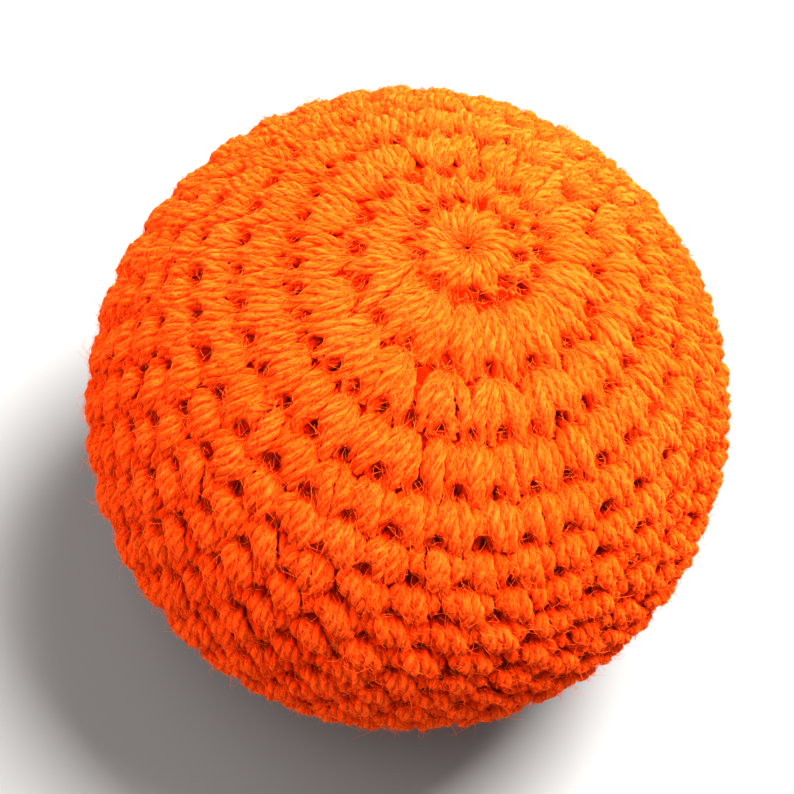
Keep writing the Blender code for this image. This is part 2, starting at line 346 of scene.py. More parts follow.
@dataclass(frozen=True)
class WoolFinish(Finish):
    """Soft plied wool, with painted shade: darker and redder where it lies deep, between its plies and
    round the holes. Its pattern follows the attributes that the yarn's nodes leave on the mesh.
    """

    name: str = "orange wool"
    spiral: Spiral = Spiral()
    crest: Colour = (0.97, 0.108, 0.0115)
    body: Colour = (0.94, 0.052, 0.0016)
    gap_shade: Colour = (0.44, 0.024, 0.0014)
    recess_shade: Colour = (0.64, 0.019, 0.0003)
    hollow_shade: Colour = (0.45, 0.009, 0.0002)
    well_shade: Colour = (0.20, 0.004, 0.0001)
    crown_hole_shade: Colour = (0.22, 0.0045, 0.0002)
    # painted shade of the deepest yarn
    bottom: Colour = (0.08, 0.002, 0.0001)
    sunk_depths: Span = (0.22 * MM, 1.9 * MM)
    hollow_shade_depths: Span = (1.00 * MM, 1.50 * MM)
    well_shade_depths: Span = (0.35 * MM, 1.2 * MM)
    deepest_shade_depths: Span = (1.80 * MM, 2.4 * MM)
    crown_shade_heights: Span = (42 * MM, 54 * MM)  # above the floor
    fine_plies: float = 4.0
    fine_twist: float = 1500.0  # radians to the metre
    fibre_stretch: float = 800.0  # units of the fibres' noise to a metre along the yarn
    fibre_light: float = 0.55  # how much each pattern adds on the way from body to crest
    ridge_light: float = 0.30
    fine_light: float = 0.18
    patch_light: float = 0.12
    tone_light: float = 0.12
    # painted shade: how much lightness the yarn loses where it lies deep
    sunk_shade: float = 0.5
    relief: float = 0.11 * MM

    def inputs(self, graph: Graph) -> dict[str, object]:
        """Works out the wool.

        Args:
            graph: the material's nodes.

        Returns:
            The shader's inputs by name.
        """
        along, grain, tone = graph.parts(graph.attribute("lie", "Vector"))
        # nearness to a hole, which becomes painted shade
        near = graph.attribute("near")
        slant = graph.maths("MULTIPLY", along, -self.fine_twist / self.fine_plies)
        ring = {"Vector": graph.attribute("ring", "Vector"), "Angle": slant}
        wound = graph.node("ShaderNodeVectorRotate", ring, rotation_type="Z_AXIS")
        across, up, _ = graph.parts(wound)

        # fine plies wind round each ply, and the fibres are noise that is drawn out along it; the
        # number of each ply and the tone of each strand shift them, so that no two are the same
        phase = graph.maths("MULTIPLY", graph.maths("ARCTAN2", up, across), self.fine_plies)
        wave = graph.maths("SINE", graph.maths("MULTIPLY_ADD", grain, 40.0, phase))
        ridge = graph.maths("POWER", graph.stretched(wave, -1, 1), 0.6)
        where = graph.joined(
            graph.maths("MULTIPLY_ADD", grain, 31.0, across),
            graph.maths("MULTIPLY_ADD", tone, 17.0, up),
            graph.maths("MULTIPLY", along, self.fibre_stretch),
        )
        strands = graph.noise(where, 1.9, 3.0, Roughness=0.6, Distortion=0.5)
        fibre = graph.stretched(strands, 0.34, 0.66)
        # painted shade in the narrow gaps between the fibres
        gap = graph.stretched(strands, 0.37, 0.47, 1, 0)
        fine = graph.noise(where, 5.0)

        place = graph.place()
        centre = (0, 0, self.spiral.centre_height)
        reach = graph.vectors("LENGTH", graph.vectors("SUBTRACT", place, centre))
        depth = graph.maths("SUBTRACT", self.spiral.ball_radius, reach)
        sunk = graph.stretched(depth, *self.sunk_depths)

        # from the body's colour to the crest's
        streak = graph.stretched(fine, 0.3, 0.7, -1, 1)
        patch = graph.stretched(graph.noise(place, 90.0), 0.3, 0.7, -self.patch_light, self.patch_light)
        strand = graph.stretched(tone, 0, 1, -self.tone_light, self.tone_light)
        # the fine plies' pattern: lighter on their ridges, with painted shade between them
        light = graph.maths("MULTIPLY", ridge, self.ridge_light)
        light = graph.maths("MULTIPLY_ADD", fibre, self.fibre_light, light)
        light = graph.maths("MULTIPLY_ADD", streak, self.fine_light, light)
        light = graph.maths("ADD", graph.maths("ADD", light, patch), strand)
        # painted shade: yarn that lies deep is taken towards the darker body colour
        light = graph.maths("SUBTRACT", light, graph.maths("MULTIPLY", sunk, self.sunk_shade))
        colour = graph.mixed(graph.stretched(light, 0.05, 0.85), self.body, self.crest)

        # painted shade: darker and redder between the plies, down in the grooves and near a hole, where
        # shade falls
        crease_shade = graph.stretched(graph.attribute("rim"), 0.60, 0.92, 1, 0)
        dark = graph.maths("MAXIMUM", graph.maths("MULTIPLY", crease_shade, 0.60), near)
        # painted shade down in the well of each hole
        well_shade_mask = graph.maths("MULTIPLY", near, graph.stretched(depth, *self.well_shade_depths))
        # painted shade round the holes on the upper part of the ball, by height above the floor
        upper = graph.stretched(graph.parts(place)[2], *self.crown_shade_heights)
        layers = (
            (graph.maths("MULTIPLY", gap, 0.9), self.gap_shade),
            (graph.maths("MAXIMUM", dark, graph.stretched(sunk, 0.08, 0.56)), self.recess_shade),
            # painted shade: darker where the yarn lies deep, and round each hole
            (graph.stretched(depth, *self.hollow_shade_depths), self.hollow_shade),
            (graph.stretched(near, 0.34, 0.85, 0, 0.95), self.hollow_shade),
            (graph.maths("POWER", well_shade_mask, 1.6), self.well_shade),
            (graph.maths("MULTIPLY", graph.stretched(near, 0.28, 0.72, 0, 0.9), upper), self.crown_hole_shade),
            # painted shade: the deepest yarn goes nearly black
            (graph.stretched(depth, *self.deepest_shade_depths), self.bottom),
        )
        for factor, layer in layers:
            colour = graph.mixed(factor, colour, layer)

        height = graph.maths("MULTIPLY_ADD", fibre, 0.8, graph.maths("MULTIPLY", ridge, 0.5))
        height = graph.maths("MULTIPLY_ADD", fine, 0.5, height)
        return {
            "Base Color": colour,
            "Normal": graph.bump(height, 0.9, self.relief),
            "Roughness": graph.stretched(fibre, 0, 1, 0.95, 0.80),
            "Specular IOR Level": 0.0,
            "Sheen Weight": 0.12,
            "Sheen Roughness": 0.5,
            "Sheen Tint": (1.0, 0.30, 0.02, 1),
            "Subsurface Weight": 0.65,
            "Subsurface Radius": (1.0, 0.16, 0.03),
            "Subsurface Scale": 0.9 * MM,
        }


@dataclass(frozen=True)
class FibreFinish(Finish):
    """A single wool fibre: paler than the yarn, as light passes it."""

    name: str = "stray fibre"
    light: Colour = (1.0, 0.155, 0.015)
    dark: Colour = (0.96, 0.064, 0.0020)

    def inputs(self, graph: Graph) -> dict[str, object]:
        """Works out the fibre.

        Args:
            graph: the material's nodes.

        Returns:
            The shader's inputs by name.
        """
        tint = graph.noise(graph.place(), 500.0)
        return {
            "Base Color": graph.mixed(tint, self.dark, self.light),
            "Roughness": graph.stretched(tint, 0, 1, 0.6, 0.9),
            "Specular IOR Level": 0.1,
        }


@dataclass(frozen=True)
class WeaveFinish(Finish):
    """Thin plain-woven cotton, or thread when the weave is fine."""

    name: str
    light: Colour
    dark: Colour
    threads: float = 2600.0  # to the metre
    half_waves: float = 6.3  # that the wave texture draws in a unit of its scale, one to a thread
    relief: float = 0.04 * MM

    def inputs(self, graph: Graph) -> dict[str, object]:
        """Works out the weave.

        Args:
            graph: the material's nodes.

        Returns:
            The shader's inputs by name.
        """
        place = graph.place()
        scale = self.threads / self.half_waves
        wave = {"Vector": place, "Scale": scale, "Distortion": 1.2, "Detail": 1.0}
        first, second, third = (
            graph.node("ShaderNodeTexWave", wave, bands_direction=axis).outputs[1] for axis in "XYZ"
        )
        weave = graph.maths("MULTIPLY", graph.maths("MAXIMUM", first, second), third)
        slubs = graph.noise(place, 160.0, 4.0)
        tint = graph.maths("MULTIPLY_ADD", slubs, 0.6, graph.maths("MULTIPLY", weave, 0.4))
        return {
            "Base Color": graph.mixed(tint, self.dark, self.light),
            "Normal": graph.bump(weave, 0.7, self.relief),
            "Roughness": graph.stretched(weave, 0, 1, 0.92, 0.75),
            "Sheen Weight": 0.15,
        }


LINER_CLOTH = WeaveFinish("liner cloth", light=(0.80, 0.76, 0.68), dark=(0.66, 0.61, 0.53))
TIE_THREAD = WeaveFinish("tie thread", light=(0.88, 0.86, 0.80), dark=(0.70, 0.67, 0.60), threads=5200.0)


@dataclass(frozen=True)
class PelletFinish(Finish):
    """Milky moulded plastic, a little scuffed."""

    name: str = "pellet plastic"
    clear: Colour = (0.84, 0.84, 0.80)
    clouded: Colour = (0.66, 0.66, 0.61)
    relief: float = 0.03 * MM

    def inputs(self, graph: Graph) -> dict[str, object]:
        """Works out the plastic.

        Args:
            graph: the material's nodes.

        Returns:
            The shader's inputs by name.
        """
        cloud = graph.noise(graph.place(), 420.0, 5.0)
        scuff = graph.noise(graph.place(), 2400.0, 3.0)
        return {
            "Base Color": graph.mixed(graph.stretched(cloud, 0.35, 0.7), self.clear, self.clouded),
            "Roughness": graph.stretched(scuff, 0.3, 0.7, 0.32, 0.58),
            "Normal": graph.bump(scuff, 0.4, self.relief),
            "Subsurface Weight": 0.12,
            "Subsurface Scale": 1.0 * MM,
        }


@dataclass(frozen=True)
class FloorFinish(Finish):
    """A pale matt surface to stand on."""

    name: str = "pale floor"
    light: Colour = (0.178, 0.177, 0.173)
    dark: Colour = (0.163, 0.162, 0.158)

    def inputs(self, graph: Graph) -> dict[str, object]:
        """The shader's inputs by name."""
        cloud = graph.noise(graph.place(), 12.0, 4.0)
        return {"Base Color": graph.mixed(cloud, self.light, self.dark), "Roughness": 0.8}


def linked(name: str, data: bpy.types.ID) -> Thing:
    """Puts a new object into the scene.

    Args:
        name: its name.
        data: its mesh, camera or light.

    Returns:
        The object.
    """
    made = bpy.data.objects.new(name, data)
    bpy.context.scene.collection.objects.link(made)
    return made


def meshed(name: str, points: Array, edges: Iterable = (), faces: Iterable = ()) -> Thing:
    """Makes an object from its points.

    Args:
        name: its name.
        points: a row for each point.
        edges: pairs of points.
        faces: the faces' points.

    Returns:
        The object.
    """
    mesh = bpy.data.meshes.new(name)
    mesh.from_pydata(points.tolist(), edges, faces)
    return linked(name, mesh)


def plain(thing: Thing) -> Thing:
    """Makes what an object's modifiers show its own plain mesh.

    Args:
        thing: the object.

    Returns:
        The object, without modifiers.
    """
    thing.update_tag()
    graph = bpy.context.evaluated_depsgraph_get()
    mesh = bpy.data.meshes.new_from_object(
        thing.evaluated_get(graph), preserve_all_data_layers=True, depsgraph=graph
    )
    thing.modifiers.clear()
    old, thing.data = thing.data, mesh
    mesh.name = thing.name
    bpy.data.meshes.remove(old)
    return thing


def grown(thing: Thing, tree: bpy.types.GeometryNodeTree, values: dict[str, object]) -> Thing:
    """Runs a node tree on an object and keeps the result as its plain mesh.

    Args:
        thing: the object that the tree starts from.
        tree: the tree.
        values: the tree's inputs, by name.

    Returns:
        The object.
    """
    modifier = thing.modifiers.new(tree.name, "NODES")
    modifier.node_group = tree
    for item in tree.interface.items_tree:
        if item.item_type == "SOCKET" and item.in_out == "INPUT" and item.name in values:
            modifier[item.identifier] = values[item.name]
    return plain(thing)


def put_attribute(mesh: Mesh, name: str, values: Array) -> None:
    """Stores an attribute on the mesh's points.

    Args:
        mesh: the mesh.
        name: the attribute's name.
        values: a number or a row of three for each point.
    """
    kind, key = ("FLOAT", "value") if values.ndim == 1 else ("FLOAT_VECTOR", "vector")
    made = mesh.attributes.new(name, kind, "POINT")
    made.data.foreach_set(key, values.astype(np.float32).ravel())


def coordinates(mesh: Mesh) -> Array:
    """Reads the mesh's points.

    Args:
        mesh: the mesh.

    Returns:
        The points, one to a row.
    """
    found = np.empty(len(mesh.vertices) * 3, np.float32)
    mesh.vertices.foreach_get("co", found)
    return found.reshape(-1, 3).astype(np.float64)


def put_coordinates(mesh: Mesh, points: Array) -> None:
    """Moves the mesh's points to these rows."""
    mesh.vertices.foreach_set("co", points.astype(np.float32).ravel())
    mesh.update()


def faced_out(mesh: Mesh) -> None:
    """Turns a closed mesh's faces outward if they look inward, by the sign of its volume.

    Args:
        mesh: the mesh.
    """
    shape = bmesh.new()
    shape.from_mesh(mesh)
    if shape.calc_volume(signed=True) < 0:
        bmesh.ops.reverse_faces(shape, faces=shape.faces)
        shape.to_mesh(mesh)
    shape.free()


def carried(piece: Thing, node: str) -> Thing:
    """Attaches a piece to what it rides on, and hides the solid that it stands for.

    Args:
        piece: the piece.
        node: the solid that it stands for.

    Returns:
        The piece.
    """
    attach(piece, BODY)
    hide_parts(node)
    return piece


def eased(share: Array) -> Array:
    """Smooth steps from 0 to 1."""
    share = np.clip(share, 0, 1)
    return share * share * (3 - 2 * share)


def unit(rows: Array) -> Array:
    """Rows of length 1."""
    return rows / np.maximum(np.linalg.norm(rows, axis=1, keepdims=True), 1e-9)


def circled(turn: Array) -> Array:
    """Unit vectors at these turns round the upright axis."""
    return np.stack((np.cos(turn), np.sin(turn), 0 * turn), -1)


@dataclass
class Strands:
    """Centre lines of yarn, collected before they become one mesh of edges.

    A line has four arrays with a row for each point: the points, which way is outward and which way
    is sideways there, and the angle, width, height and tone of the plies.
    """

    lines: list[tuple[Array, ...]] = field(default_factory=list)
    closed: list[bool] = field(default_factory=list)

    def add(
        self,
        points: Array,
        out: Array,
        angle: Array,
        wide: Array,
        tall: Array,
        tone: float,
        closed: bool = False,
    ) -> None:
        """Adds one strand.

        Args:
            points: its centre line.
            out: which way is outward at each point.
            angle: how far its plies have turned at each point.
            wide: its width at each point, as a share of the full yarn's.
            tall: its height, likewise.
            tone: 0 to 1, darker to lighter.
            closed: whether its end joins its start.
        """
        along = np.gradient(points, axis=0)
        if closed:
            along = np.roll(points, -1, 0) - np.roll(points, 1, 0)
        side = unit(np.cross(along, out))
        shape = np.stack((angle, wide, tall, np.full(len(points), tone)), -1)
        self.lines.append((points, unit(np.cross(side, along)), side, shape))
        self.closed.append(closed)

    def to_object(self, name: str) -> Thing:
        """Joins the centre lines, as edges with what the yarn's nodes read.

        Args:
            name: the object's name.

        Returns:
            The object.
        """
        edges, start = [], 0
        for line, closed in zip(self.lines, self.closed):
            count = len(line[0])
            edges += [(start + i, start + i + 1) for i in range(count - 1)]
            if closed:
                edges.append((start + count - 1, start))
            start += count
        points, out, side, shape = map(np.concatenate, zip(*self.lines))
        thing = meshed(name, points, edges)
        labels = ("out", "side", "angle", "wide", "tall", "tone")
        for label, values in zip(labels, (out, side, *shape.T)):
            put_attribute(thing.data, label, values)
        return thing


@dataclass(frozen=True)
class YarnNodes:
    """Geometry Nodes that lay the plies of a yarn round its centre lines."""

    plies: int = 3
    ply_radius: float = 0.34 * MM
    spread: float = 0.26 * MM
    sides: int = 5
    seed: int = 5

    INPUTS = (
        ("Plies", "Int", "plies"),
        ("Ply Radius", "Float", "ply_radius"),
        ("Spread", "Float", "spread"),
        ("Sides", "Int", "sides"),
        ("Seed", "Int", "seed"),
    )

    @property
    def reach(self) -> float:
        """Radius of the whole yarn."""
        return self.ply_radius + self.spread

    def tree(self) -> bpy.types.GeometryNodeTree:
        """Builds the node tree, once for all yarns.

        Returns:
            The tree.
        """
        if "plied yarn" in bpy.data.node_groups:
            return bpy.data.node_groups["plied yarn"]
        graph = Graph.for_geometry("plied yarn", [(label, kind) for label, kind, _ in self.INPUTS])
        given = graph.node("NodeGroupInput").outputs
        here = graph.node("GeometryNodeInputPosition")
        wide, tall = graph.named("wide"), graph.named("tall")

        # each centre line is copied for its plies, which stand round it at equal turns
        lines = graph.node("GeometryNodeMeshToCurve", {0: given["Geometry"]})
        copying = {0: lines, "Amount": given["Plies"]}
        copies = graph.node("GeometryNodeDuplicateElements", copying, domain="SPLINE")
        share = graph.maths("DIVIDE", copies.outputs[1], given["Plies"])
        turn = graph.maths("MULTIPLY_ADD", share, TURN, graph.named("angle"))
        lift = graph.maths("MULTIPLY", graph.maths("COSINE", turn), tall)
        shift = graph.maths("MULTIPLY", graph.maths("SINE", turn), wide)
        upward = graph.scaled(graph.named("out", "FLOAT_VECTOR"), lift)
        sideways = graph.scaled(graph.named("side", "FLOAT_VECTOR"), shift)
        offset = graph.scaled(graph.vectors("ADD", upward, sideways), given["Spread"])
        cored = graph.stored(copies.outputs[0], "core", here, "FLOAT_VECTOR")
        moved = graph.node("GeometryNodeSetPosition", {0: cored, "Offset": offset})

        # what the wool's pattern follows: a number for each ply, its length and its tone
        chance = graph.node("FunctionNodeRandomValue", {"Seed": given["Seed"]}, data_type="FLOAT")
        grained = graph.stored(moved, "grain", chance.outputs[1], domain="CURVE")
        length = graph.node("GeometryNodeSplineParameter").outputs["Length"]
        lie = graph.joined(length, graph.named("grain"), graph.named("tone"))
        laid = graph.stored(grained, "lie", lie, "FLOAT_VECTOR")

        profile = graph.stored(graph.circle(given["Sides"]), "ring", here, "FLOAT_VECTOR")
        girth = graph.maths("MULTIPLY_ADD", wide, 0.5, graph.maths("MULTIPLY", tall, 0.5))
        tubes = graph.tubes(laid, profile, graph.maths("MULTIPLY", girth, given["Ply Radius"]))
        # how far out from its core each point of a ply lies, which the wool turns into painted shade in
        # the creases between plies
        core = graph.named("core", "FLOAT_VECTOR")
        away = graph.vectors("LENGTH", graph.vectors("SUBTRACT", here, core))
        reach = graph.maths("ADD", given["Ply Radius"], given["Spread"])
        rim = graph.maths("DIVIDE", away, graph.maths("MULTIPLY", girth, reach))
        graph.give(graph.stored(tubes, "rim", rim), given["Finish"])
        return graph.tree

    def spin(self, strands: Strands, name: str, finish: Material) -> Thing:
        """Turns centre lines into yarn.

        Args:
            strands: the centre lines.
            name: name of the piece.
            finish: its material.

        Returns:
            The piece, a plain mesh.
        """
        values = {label: getattr(self, attribute) for label, _, attribute in self.INPUTS}
        return grown(strands.to_object(name), self.tree(), {**values, "Finish": finish})


@dataclass
class Stitch:
    """One single crochet: the hole it is worked into and the place of its own top."""

    column: float  # of its middle, where it ends
    hole: float  # column of the hole above it
    step: float  # columns from one stitch to the next
    first: float  # rounds worked at its upper end
    last: float  # rounds worked at its lower end

    @property
    def middle(self) -> float:
        """Rounds worked at its middle."""
        return (self.first + self.last) / 2

    @property
    def petal(self) -> bool:
        """Whether it is one of the first stitches, worked into the starting ring."""
        return self.first < 0.5

    @property
    def knob(self) -> float:
        """0 near the crown, where stitches lie flat, to 1 where they stand out as knobs."""
        return eased((self.first - 4) / 4)

    def spread(self, s: Array) -> Array:
        """Finds how far its strands lie apart: close at the hole, wide in the middle, less at the foot.

        Args:
            s: shares of the way down it.

        Returns:
            The width that they take, as a share of the step.
        """
        foot = eased(s * 2 - 1)
        if self.petal:
            return 0.70 + 0.34 * eased(s * 1.6) - 0.14 * foot
        spread = 0.44 + 0.14 * self.knob + (0.62 - 0.17 * self.knob) * eased(s * 2.1)
        return spread - (0.16 + 0.06 * self.knob) * foot

    def dive(self, s: Array) -> Array:
        """Finds how deep a strand lies: it rises out of the hole, bulges and dives at its foot.

        Args:
            s: shares of the way down it.

        Returns:
            Millimetres below the bulge.
        """
        if self.petal:
            return 0.85 * (1 - eased(s * 2.0)) + 0.6 * eased(s * 3 - 2)
        dive = 1.25 * np.clip(1 - s * 2.1, 0, 1) ** 1.8
        dive = dive * (0.72 + 0.28 * eased((self.first - 1) / 4))
        dive = dive + (0.50 + 0.32 * self.knob) * np.clip(s * 2.4 - 1.4, 0, 1) ** 1.6
        return dive * min(1.0, 0.2 + self.last - self.first)


@dataclass
class CrochetCover:
    """The cover: every stitch has strands that fan out of a hole, and a loop across its foot."""

    spiral: Spiral
    yarn: YarnNodes = YarnNodes()
    steps: tuple[Span, ...] = (  # a column of the strip, and the columns to a stitch before it
        (110, 4.0), (1131, 2.0), (1278, 3.0), (1351, 4.0), (1424, 6.0), (1461, 12.0),
    )  # fmt: skip
    petals: int = 9  # stitches worked into the starting ring
    base_stitches: int = 6  # drawn together by the closing ring
    tops_in_reach: int = 60  # of the round above, for the next stitch
    least_height: float = 0.10  # rounds; a lower stitch is left out
    strand_width: float = 1.02 * MM
    most_strands: int = 4
    strand_points: int = 12
    overlap: float = 1.74  # width of a strand for each width of room that it has
    widths: Span = (0.52, 1.40)  # of a strand, as a share of the full yarn's
    talls: Span = (0.62, 1.0)
    strand_floor: float = 2.9 * MM  # the depth that no strand's under side passes
    loop_points: int = 10
    loop_crest: float = 0.62 * MM
    loop_dive: float = 1.2 * MM
    loop_floor: float = 2.85 * MM
    usual_pitch: float = 4.0 * MM  # from one stitch to the next
    twist: float = 1400.0  # radians that the plies turn in a metre
    hole_size: float = 0.42  # millimetres from middle to rim, round the crown
    hole_narrowing: float = 0.09  # taken off it from the fifth round to the ninth
    crown_hole: float = 0.06 * MM
    least_hole_gap: float = 0.4 * MM
    hole_shade_reach: float = 0.50 * MM  # how far past a hole the painted shade reddens the yarn
    seed: int = 11
    bands: tuple[tuple[str, float], ...] = (
        ("crown", 3.0), ("shoulder", 6.0), ("upper", 8.4), ("middle", 10.8),
        ("lower", 13.2), ("under", 16.0), ("base", 30.0),
    )  # fmt: skip
    strands: dict[str, Strands] = field(default_factory=dict)
    hole_places: Array | None = None
    hole_radii: Array | None = None

    def step_at(self, column: float) -> float:
        """Columns to a stitch at this place on the strip."""
        return next(step for end, step in self.steps if column < end)

    def layout(self) -> list[Stitch]:
        """Lays out the stitches.

        Returns:
            Every stitch of the cover, from the crown to the base.
        """
        turn, last_round = self.spiral.columns, self.spiral.last_round
        pitch = turn / self.petals
        found = [Stitch(i * pitch, i * pitch, pitch, 0.0, 1.0) for i in range(self.petals)]
        tops = [(i + 0.5) * pitch for i in range(-1, self.petals)]
        column = 0.0
        end = turn * last_round
        while column < end:
            step = self.step_at(column)
            first, last = (float(np.clip(column / turn + i, 1, last_round)) for i in (0, 1))
            known = tops[: self.petals + 1] if column < turn else tops[-self.tops_in_reach :]
            hole = min(known, key=lambda top: abs(top - column))
            if last - first > self.least_height:
                found.append(Stitch(column, hole, step, first, last))
            tops.append(column + step / 2 + turn)
            column += step
        pitch = turn / self.base_stitches
        middles = [end + i * pitch for i in range(self.base_stitches)]
        return found + [Stitch(at, at, pitch, last_round, last_round + 1.0) for at in middles]

    def rounds_at(self, stitch: Stitch, column: Array, share: Array) -> Array:
        """Rounds worked at a share of the way down a stitch.

        Args:
            stitch: the stitch.
            column: columns of the points, as the strip slants.
            share: how far down the points are, 0 to 1, or a little past either.

        Returns:
            The rounds.
        """
        slant = 0.0
        if 1 < stitch.first and stitch.last < self.spiral.last_round:
            slant = (column - stitch.column) / self.spiral.columns
        return stitch.first + (stitch.last - stitch.first) * share + slant

    def pitch_at(self, stitch: Stitch, rounds: Array) -> Array:
        """Metres along the round for a stitch, not quite 0 at the crown."""
        return self.spiral.width(np.clip(rounds, 0.05, None)) * stitch.step

    def add_strand(
        self, strands: Strands, stitch: Stitch, place: float, mood: Array, draw: Random
    ) -> None:
        """Adds one of the strands that fan out of a stitch's hole.

        Args:
            strands: what collects them.
            stitch: the stitch.
            place: across the stitch, -1 for its left edge and 1 for its right.
            mood: what the stitch's strands have in common: their number, shift, drop, tilt, height.
            draw: random numbers.
        """
        loose = np.clip(draw.normal(0, 1, 8), -2, 2)
        number, shift, drop, tilt, height = mood
        s = np.linspace(0, 1, self.strand_points)
        spread = stitch.spread(s)

        # how far down it runs, in shares of the stitch's height: less far at the stitch's edges
        start = 0.12 * (1 - eased((stitch.first - 1) / 1.2))
        down = 0.02 * drop - start + (1.26 + start - 0.26 * place**2 + 0.04 * loose[0]) * s
        # how far aside, in shares of its step: leaning, shifted and a little bent
        slant = 0.22 * stitch.knob + 0.07 * tilt + 0.05 * loose[1]
        drift = slant * (s - 0.45) + 0.035 * shift + 0.05 * loose[2] * np.sin(math.pi * s)
        if stitch.petal:
            down = 0.04 + (1.10 - 0.16 * place**2) * s
            drift = 0.25 * drift
        fan = 0.30 + 0.70 * eased(s * 1.8)
        column = stitch.hole + (stitch.column - stitch.hole) * fan
        column = column + stitch.step * (0.5 * place * spread + drift)
        rounds = self.rounds_at(stitch, column, down)

        # it fills its room and tapers to both ends
        room = self.pitch_at(stitch, rounds) * spread / number
        wide = np.clip(room * self.overlap / (2 * self.yarn.reach), *self.widths)
        wide = wide * (1 + 0.10 * loose[3])
        ends = 1 - 0.30 * (1 - eased(s * 3.2)) - 0.22 * eased(s * 3.6 - 2.6)
        wide, tall = wide * ends, np.clip(wide, *self.talls) * ends

        # the strands at its edges lie deeper, and each a little by chance, in millimetres
        sink = (0.42 + 0.60 * stitch.knob) * place**2 + 0.10 * abs(loose[4]) + 0.09 * abs(height)
        depth = self.yarn.reach * tall + MM * (stitch.dive(s) + sink)
        depth = np.minimum(depth, self.strand_floor - self.yarn.reach * tall)
        self.add(strands, column, rounds, depth, wide, tall, draw)

    def add_loop(self, strands: Strands, stitch: Stitch, draw: Random) -> None:
        """Adds the loop that lies across the foot of a stitch, from one hole to the next.

        Args:
            strands: what collects the loops.
            stitch: the stitch.
            draw: random numbers.
        """
        loose = draw.normal(0, 1, 6)
        s = np.linspace(0, 1, self.loop_points)
        bow = np.sin(math.pi * s)
        column = stitch.column + stitch.step * (s - 0.5 + 0.04 * loose[0]) * 1.04
        down = 1.03 + 0.03 * loose[1] - (0.26 + 0.10 * loose[3]) * (s - 0.5)
        rounds = self.rounds_at(stitch, column, down - 0.05 * bow)
        pitch = self.pitch_at(stitch, rounds)
        wide = np.clip(pitch / self.usual_pitch, 0.60, 1.1) * (0.85 + 0.35 * bow)
        crest = self.loop_crest * (1 + 0.5 * abs(loose[2])) + self.yarn.reach * wide
        depth = crest + self.loop_dive * (1 - bow) ** 1.5
        depth = np.minimum(depth, self.loop_floor - self.yarn.reach * wide)
        self.add(strands, column, rounds, depth, wide, wide, draw)

    def add(
        self,
        strands: Strands,
        column: Array,
        rounds: Array,
        depth: Array,
        wide: Array,
        tall: Array,
        draw: Random,
    ) -> None:
        """Adds a strand by place on the spiral and depth.

        Args:
            strands: what collects it.
            column: of each point.
            rounds: likewise.
            depth: of its centre line under the crests.
            wide: its width as a share of the full yarn's.
            tall: its height, likewise.
            draw: random numbers.
        """
        out = self.spiral.outward(column, rounds)
        points = out * (self.spiral.ball_radius - depth)[:, None]
        length = np.linalg.norm(np.diff(points, axis=0), axis=1)
        twist = self.twist * draw.uniform(0.85, 1.15)
        angle = draw.uniform(0, TURN) + twist * np.concatenate(([0.0], np.cumsum(length)))
        strands.add(points, out, angle, wide, tall, draw.uniform())

    def number(self, stitch: Stitch) -> int:
        """How many strands show side by side in a stitch."""
        pitch = self.spiral.width(np.array([stitch.middle + 0.2]))[0] * stitch.step
        return int(np.clip(round(pitch / self.strand_width), 2, self.most_strands))

    def place_holes(self, stitches: list[Stitch], draw: Random) -> None:
        """Finds unit vectors to the holes, and their radii.

        Args:
            stitches: every stitch.
            draw: random numbers.
        """
        places, radii = [np.array((0.0, 0.0, 1.0))], [self.crown_hole]
        nearest = math.cos(self.least_hole_gap / self.spiral.ball_radius)
        for stitch in stitches[self.petals :]:
            column = np.array([stitch.hole])
            rounds = self.rounds_at(stitch, column, np.array([0.03]))
            place = self.spiral.outward(column, rounds)[0]
            if np.max(np.array(places) @ place) > nearest:
                continue
            pitch = self.spiral.width(rounds)[0] * stitch.step
            size = self.hole_size - self.hole_narrowing * eased((stitch.first - 5) / 4)
            room = np.clip(pitch / self.usual_pitch, 0.75, 1.0)
            places.append(place)
            radii.append(size * MM * room * draw.uniform(0.8, 1.2))
        self.hole_places, self.hole_radii = np.array(places), np.array(radii)

    def nearest_hole(self, out: Array) -> tuple[Array, Array]:
        """Finds the hole that is nearest in each direction.

        Args:
            out: unit vectors, one to a row.

        Returns:
            The holes' numbers, and the metres along the ball to them.
        """
        numbers, cosines = [], []
        for part in np.array_split(out, 40):
            facing = part @ self.hole_places.T
            numbers.append(np.argmax(facing, 1))
            cosines.append(np.max(facing, 1))
        gap = self.spiral.ball_radius * np.arccos(np.clip(np.concatenate(cosines), -1, 1))
        return np.concatenate(numbers), gap

    def nearness(self, points: Array) -> Array:
        """Finds how near points are to a hole, where painted shade makes the yarn redder and darker.

        Args:
            points: about the ball's centre.

        Returns:
            0 for far to 1 for the middle of a hole.
        """
        number, gap = self.nearest_hole(unit(points))
        wide = 1.2 * self.hole_radii[number] + self.hole_shade_reach
        return np.exp(-((gap / wide) ** 2))

    def opened(self, points: Array) -> Array:
        """Moves yarn aside round each hole, and draws it in at the rim.

        Args:
            points: the yarn's points about the ball's centre.

        Returns:
            The moved points.
        """
        number, _ = self.nearest_hole(unit(points))
        axis, radius = self.hole_places[number], self.hole_radii[number][:, None]
        high = np.clip((axis[:, 2:] - 0.45) / 0.45, 0, 1)  # 1 round the crown, 0 at the sides
        outer = radius * (2.4 + 0.8 * high)
        aside = points - axis * np.sum(points * axis, 1, keepdims=True)
        away = np.maximum(np.linalg.norm(aside, axis=1, keepdims=True), 1e-7)
        share = np.clip(away / outer, 0, 1)
        wanted = np.where(away < outer, radius + (outer - radius) * share, away)
        sunk = (1.0 + 1.7 * high) * radius * (1 - share) ** (2 - 0.5 * high)
        return points + aside / away * (wanted - away) - axis * sunk

